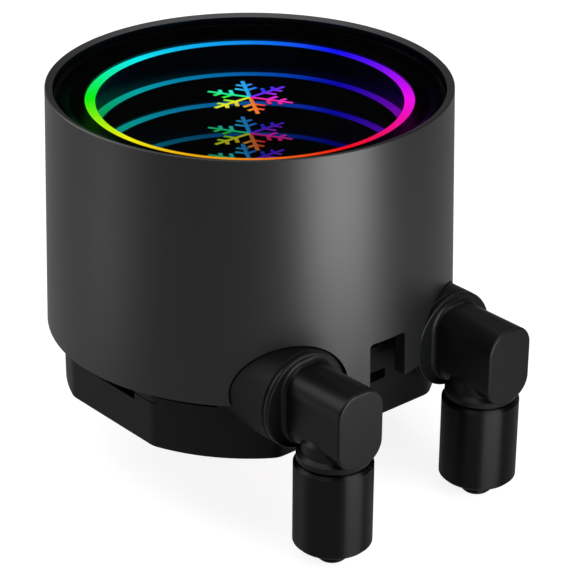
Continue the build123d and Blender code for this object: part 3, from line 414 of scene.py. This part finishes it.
# %% Floor and backdrop
FLOOR_HALF = 3.0            # metres from the object to the paper's edge
FLOOR_DROP = 0.3 * MM       # air under the lowest barb
FIBRE_MM = 4                # size of the paper's cloudy patches
PAPER_TONE = 0.3, 0.32      # share of light that the paper throws back
GLOW_SEEN = 0.85            # the paper's own brightness as the camera sees it
GLOW_MIRRORED = 0.15        # and as it shows in metal, glass and gloss
floor_mesh = bpy.data.meshes.new("paper_floor")
floor_z = cad_box[0].z - FLOOR_DROP
corners = [(x * FLOOR_HALF, y * FLOOR_HALF, floor_z) for x, y in ((-1, -1), (1, -1), (1, 1), (-1, 1))]
floor_mesh.from_pydata(corners, [], [(0, 1, 2, 3)])
floor = bpy.data.objects.new("paper_floor", floor_mesh)
bpy.context.scene.collection.objects.link(floor)

# White paper: dull all over. Rays that look at it see it brighter than the rays that light by it,
# because a paper that threw all its light back would wash the black plastics out from below.
paper, tree = new_material("white_paper")
fibre = add(tree, "TexNoise", inputs={
    "Vector": add(tree, "TexCoord").outputs["Object"], "Scale": 1 / (FIBRE_MM * MM)})
tone = add(tree, "MapRange", inputs={
    "Value": fibre.outputs["Fac"], "To Min": PAPER_TONE[0], "To Max": PAPER_TONE[1]})
dull = add(tree, "BsdfDiffuse", inputs={"Color": tone.outputs["Result"]})
ray = add(tree, "LightPath")
mirrored = add(tree, "Math", {"operation": "MAXIMUM"}, {
    0: ray.outputs["Is Glossy Ray"], 1: ray.outputs["Is Transmission Ray"]})
mirrored_glow = add(tree, "Math", {"operation": "MULTIPLY"}, {0: mirrored.outputs[0], 1: GLOW_MIRRORED})
glow_level = add(tree, "Math", {"operation": "MULTIPLY_ADD"}, {
    0: ray.outputs["Is Camera Ray"], 1: GLOW_SEEN, 2: mirrored_glow.outputs[0]})
glow = add(tree, "Emission", inputs={"Color": colour("#ffffff"), "Strength": glow_level.outputs[0]})
shader = add(tree, "AddShader", inputs={0: dull.outputs[0], 1: glow.outputs[0]})
add(tree, "OutputMaterial", inputs={"Surface": shader.outputs[0]})
floor_mesh.materials.append(paper)
print("floor at z =", round(floor_z / MM, 1), "mm")

# %% [markdown]
# Light
#
# A black satin cylinder shows nothing but what it mirrors, so the lamps are placed by their
# reflections. A panel close in front, taller than the cover, draws the bright upright band, and
# a weak one close on the left draws the softer band there. Both stand just out of the frame: the
# camera looks down, so a far lamp would be mirrored below the floor. One behind on the left draws
# the soft line along the elbows' shoulders, and a big soft one above lights the whole at a plain
# level. The close panels light the elbows well above that level.

# %% Lamps and world
AIM = Vector((0, 0, 30)) * MM       # half way up the pump
ROOM_LEVEL = 0.14                   # even light from all round


def lamp(name, plan_angle, elevation, distance, width, height, power):
    """Area lamp facing the pump. Angles in degrees, from +X and up; lengths in m, power in W."""
    data = bpy.data.lights.new(name, "AREA")
    data.shape = "RECTANGLE"
    data.size, data.size_y = width, height
    data.energy = power
    made = bpy.data.objects.new(name, data)
    a, e = radians(plan_angle), radians(elevation)
    out = Vector((cos(a) * cos(e), sin(a) * cos(e), sin(e)))
    made.location = AIM + out * distance
    made.rotation_euler = out.to_track_quat("Z", "Y").to_euler()
    made.visible_camera = False
    bpy.context.scene.collection.objects.link(made)
    print(name, "stands at", [round(v / MM) for v in made.location], "mm")


lamp("front_strip", plan_angle=-88, elevation=-1, distance=0.115, width=0.066, height=0.065, power=0.09)
lamp("left_strip", plan_angle=161, elevation=-5, distance=0.108, width=0.05, height=0.065, power=0.008)
lamp("back_left", plan_angle=124, elevation=36, distance=0.6, width=0.4, height=0.4, power=1.6)
lamp("overhead", plan_angle=60, elevation=84, distance=1.3, width=1.6, height=1.6, power=14.0)

world = bpy.data.worlds.new("studio")
bpy.context.scene.world = world
world.use_nodes = True
world.node_tree.nodes.clear()
room = add(world.node_tree, "Background", inputs={"Color": colour("#ffffff"), "Strength": ROOM_LEVEL})
add(world.node_tree, "OutputWorld", inputs={"Surface": room.outputs[0]})

# %% [markdown]
# Camera and bounces
#
# The camera stands where the photograph was taken, on a long lens from above, with a fraction
# of a degree of roll. On every trip between the mirrors light crosses up to six faces of the
# glass and the clear sheet, so the scene allows far more see-through bounces than usual.

# %% Camera
CAMERA_SPOT = Vector((-252.72, -300.99, 211.29)) * MM
CAMERA_AZIMUTH = radians(-41.112)
CAMERA_ELEVATION = radians(26.193)
CAMERA_ROLL = radians(0.416)
CAMERA_LENS = 144.05        # mm
CAMERA_SENSOR = 36.0        # mm across
CAMERA_NEAR = 0.01          # metres, nothing nearer is drawn

back = Vector((sin(CAMERA_AZIMUTH) * cos(CAMERA_ELEVATION),
               -cos(CAMERA_AZIMUTH) * cos(CAMERA_ELEVATION), sin(CAMERA_ELEVATION)))
level = Vector((cos(CAMERA_AZIMUTH), sin(CAMERA_AZIMUTH), 0))
upright = back.cross(level)
right = level * cos(CAMERA_ROLL) + upright * sin(CAMERA_ROLL)
up = upright * cos(CAMERA_ROLL) - level * sin(CAMERA_ROLL)

camera = bpy.data.objects.new("camera", bpy.data.cameras.new("camera"))
camera.matrix_world = Matrix.Translation(CAMERA_SPOT) @ Matrix((right, up, back)).transposed().to_4x4()
camera.data.sensor_width = CAMERA_SENSOR
camera.data.lens = CAMERA_LENS
camera.data.clip_start = CAMERA_NEAR
bpy.context.scene.collection.objects.link(camera)
bpy.context.scene.camera = camera

scene = bpy.context.scene
scene.view_settings.view_transform = "Standard"
scene.cycles.max_bounces = 40
scene.cycles.glossy_bounces = 16
scene.cycles.transparent_max_bounces = 96
print("camera distance:", round(CAMERA_SPOT.length, 3), "m")
